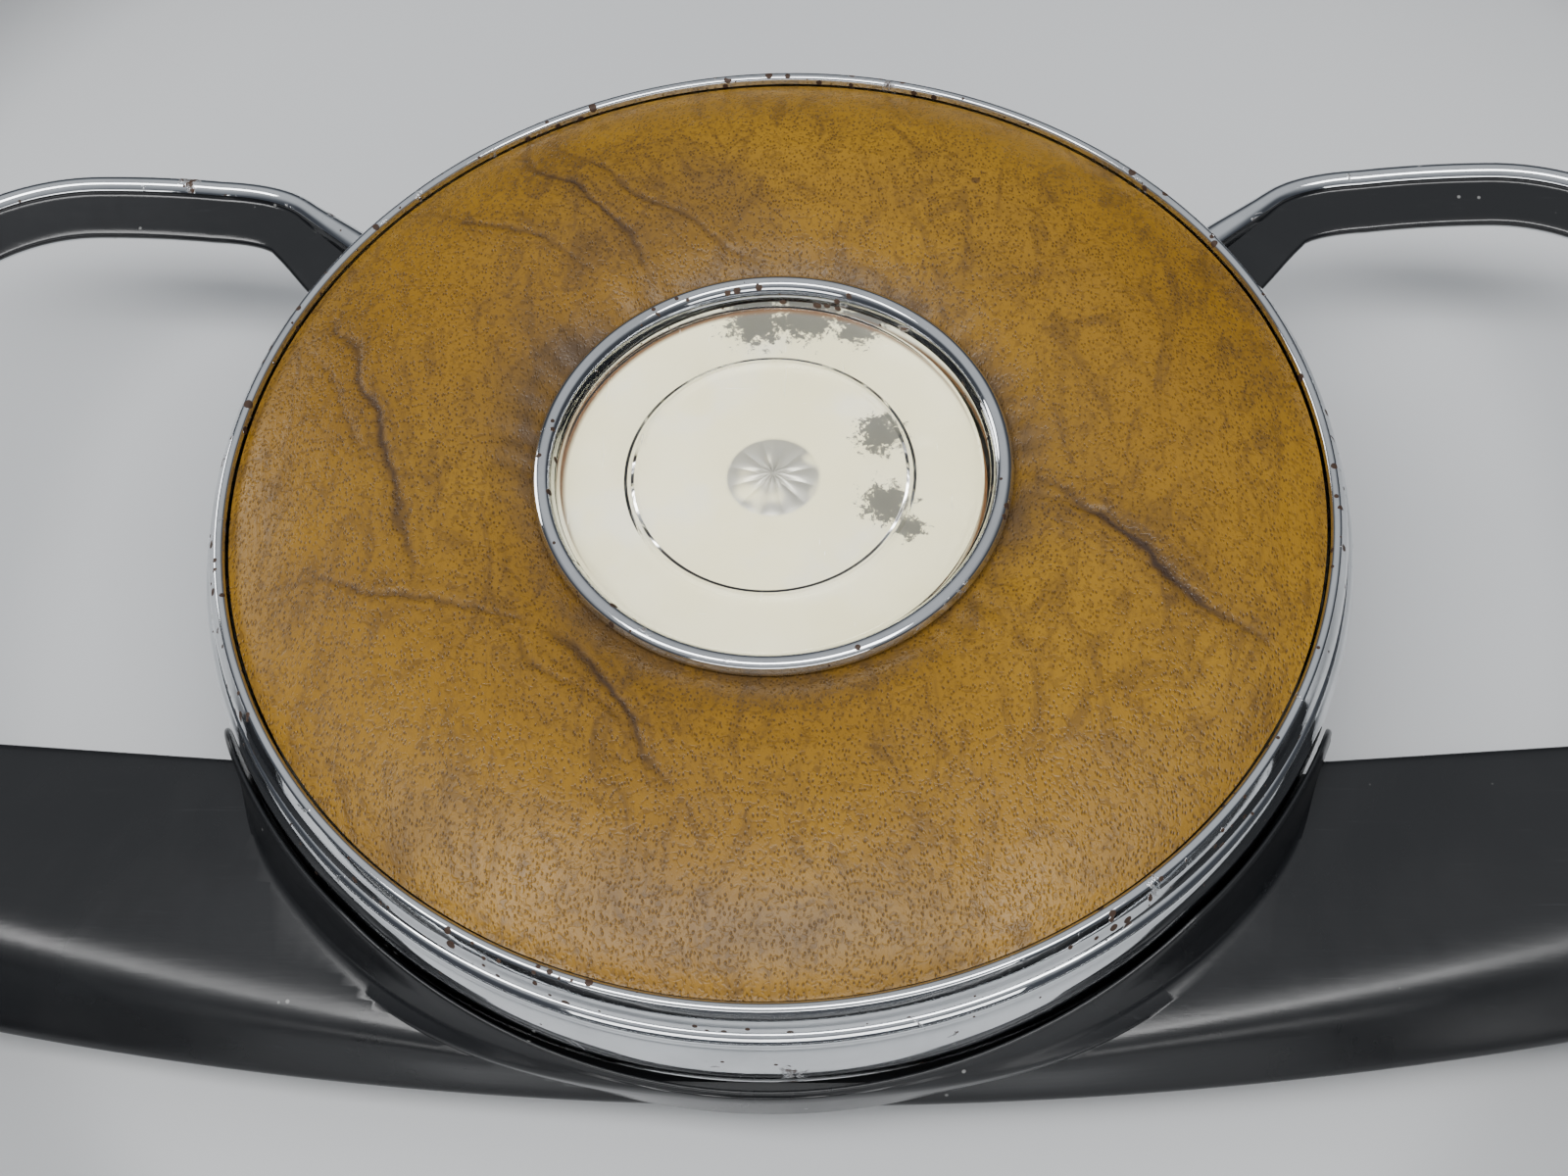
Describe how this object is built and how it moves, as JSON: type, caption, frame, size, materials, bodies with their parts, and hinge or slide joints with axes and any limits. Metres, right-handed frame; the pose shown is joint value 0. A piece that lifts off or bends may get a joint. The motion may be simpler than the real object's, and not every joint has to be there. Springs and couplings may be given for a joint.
{
  "type": "steering wheel",
  "caption": "Classic car steering wheel with a thin moulded rim, low spokes, a sprung chrome horn ring and a round leather pad with a badge.",
  "frame": {"origin": "on the steering axis, in the plane of the rear skirt's edge", "axes": "+Z along the steering axis to the driver, +Y to the top of the wheel, +X to the driver's right"},
  "size_m": [0.42, 0.42, 0.0469],
  "materials": {
    "black_moulding": "satin black moulding with fine scratches and dust",
    "core_steel": "plain machined steel",
    "chrome": "bright chrome with small rust pits",
    "plated_steel": "dull zinc plate",
    "spring_steel": "dark spring steel",
    "contact_brass": "dull brass with wear tracks",
    "brown_bakelite": "dark brown bakelite",
    "red_fibre": "vulcanised fibre",
    "pad_leather": "mustard brown grained leather, creased and soiled",
    "pad_foam": "open latex foam",
    "lens_acrylic": "clear acrylic, slightly scratched",
    "cream_paint": "cream enamel with grey flaking patches",
    "lead_insulation": "brown insulated lead"
  },
  "bodies": {
    "wheel": {"rim_moulding": "black_moulding", "steel_core": "core_steel", "hub_boss": "core_steel", "hub_rivet_1": "core_steel", "hub_rivet_2": "core_steel", "hub_rivet_3": "core_steel", "hub_rivet_4": "core_steel", "shoulder_screw_1": "plated_steel", "shoulder_screw_2": "plated_steel", "shoulder_screw_3": "plated_steel", "rear_screw_1": "plated_steel", "rear_screw_2": "plated_steel", "rear_screw_3": "plated_steel", "horn_spring_1": "spring_steel", "horn_spring_2": "spring_steel", "horn_spring_3": "spring_steel", "slip_ring": "contact_brass", "contact_ring": "contact_brass", "rear_contact_carrier": "brown_bakelite", "cancelling_cam": "brown_bakelite", "horn_lead": "lead_insulation"},
    "horn_stops": {"horn_washer_1": "red_fibre", "horn_washer_2": "red_fibre", "horn_washer_3": "red_fibre"},
    "horn": {"horn_ring": "chrome", "horn_carrier_plate": "plated_steel", "horn_bush_1": "red_fibre", "horn_bush_2": "red_fibre", "horn_bush_3": "red_fibre", "contact_stud_1": "contact_brass", "contact_stud_2": "contact_brass", "contact_stud_3": "contact_brass", "carrier_screw_1": "plated_steel", "carrier_screw_2": "plated_steel", "carrier_screw_3": "plated_steel", "pad_base_plate": "plated_steel", "pad_clip_1": "spring_steel", "pad_clip_2": "spring_steel", "pad_clip_3": "spring_steel", "pad_leather": "pad_leather", "pad_foam": "pad_foam", "pad_trim_ring": "chrome", "badge_cup": "plated_steel", "badge_backing": "cream_paint", "badge_lens": "lens_acrylic", "badge_ring": "chrome", "badge_nut": "plated_steel"}
  },
  "joints": [
    {"name": "horn_press", "type": "slide", "parent": "wheel", "child": "horn_stops", "axis": [0, 0, -1], "range_m": [0, 0.0022], "stiffness_N_per_m": 6000, "springref_m": -0.004, "deforming": ["horn_spring_1", "horn_spring_2", "horn_spring_3"]},
    {"name": "horn_tilt", "type": "hinge", "parent": "horn_stops", "child": "horn", "pos_m": [0, 0.048, 0.0284], "axis": [1, 0, 0], "range_deg": [0, 0.7], "stiffness_Nm_per_rad": 60, "springref_deg": -1.72}
  ]
}
